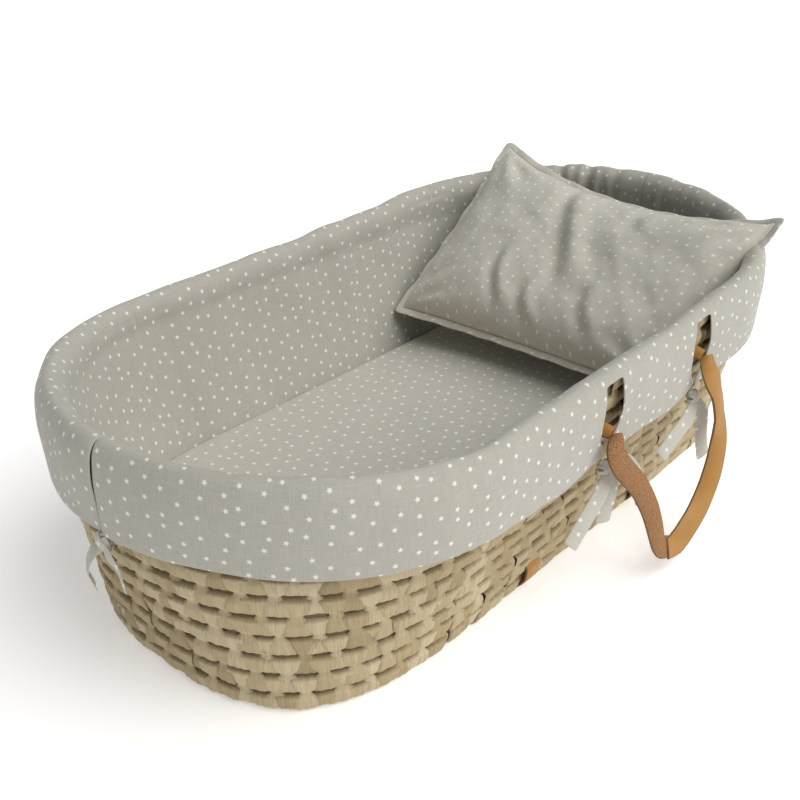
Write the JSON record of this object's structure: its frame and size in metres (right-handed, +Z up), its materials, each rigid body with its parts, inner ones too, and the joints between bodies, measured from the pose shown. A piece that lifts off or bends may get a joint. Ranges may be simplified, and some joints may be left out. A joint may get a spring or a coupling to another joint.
{
  "type": "moses basket",
  "caption": "Oval plaited palm carrying basket for a baby, with a padded star-print cover, leather handles, a mattress and a pillow.",
  "frame": {"origin": "middle of the object's footprint, on the surface that it stands on", "axes": "+X from the foot end to the raised head end, +Z up, -Y the near side"},
  "size_m": [0.84, 0.5202, 0.2929],
  "materials": {
    "palm": "matt dried palm leaf",
    "strap_leather": "smooth tan grain outside, rough suede inside",
    "cover_fabric": "plain-weave linen with small white stars",
    "sheet_fabric": "plain-weave linen with small white stars",
    "pillow_fabric": "plain-weave linen with small white stars",
    "tie_fabric": "plain-weave linen tape with small white stars",
    "wadding": "soft polyester wadding",
    "foam": "open-cell foam"
  },
  "bodies": {
    "basket": {"base_mat": "palm", "wall_course_01": "palm", "wall_course_02": "palm", "wall_course_03": "palm", "wall_course_04": "palm", "wall_course_05": "palm", "wall_course_06": "palm", "wall_course_07": "palm", "wall_course_08": "palm", "wall_course_09": "palm", "wall_course_10": "palm", "rim_binding": "palm", "sling_foot": "strap_leather", "sling_head": "strap_leather", "liner": "cover_fabric", "skirt_near": "cover_fabric", "skirt_far": "cover_fabric", "rim_padding": "wadding", "tie_foot_end": "tie_fabric", "tie_head_end": "tie_fabric", "tie_near_foot": "tie_fabric", "tie_near_head": "tie_fabric", "tie_far_foot": "tie_fabric", "tie_far_head": "tie_fabric"},
    "near_handle": {"near_handle": "strap_leather"},
    "far_handle": {"far_handle": "strap_leather"},
    "mattress": {"mattress_core": "foam", "mattress_sheet": "sheet_fabric"},
    "pillow": {"pillow_filling": "wadding", "pillow_case": "pillow_fabric"}
  },
  "joints": [
    {"name": "near_handle_swing", "type": "hinge", "parent": "basket", "child": "near_handle", "pos_m": [-0.058, -0.237, 0.185], "axis": [-0.9952, 0, -0.0977], "range_deg": [0, 155]},
    {"name": "far_handle_swing", "type": "hinge", "parent": "basket", "child": "far_handle", "pos_m": [-0.058, 0.237, 0.185], "axis": [0.9952, 0, 0.0977], "range_deg": [0, 155]},
    {"name": "mattress_lift", "type": "slide", "parent": "basket", "child": "mattress", "axis": [0, 0, 1], "range_m": [0, 0.3]},
    {"name": "pillow_lift", "type": "slide", "parent": "mattress", "child": "pillow", "axis": [0, 0, 1], "range_m": [0, 0.25]}
  ]
}
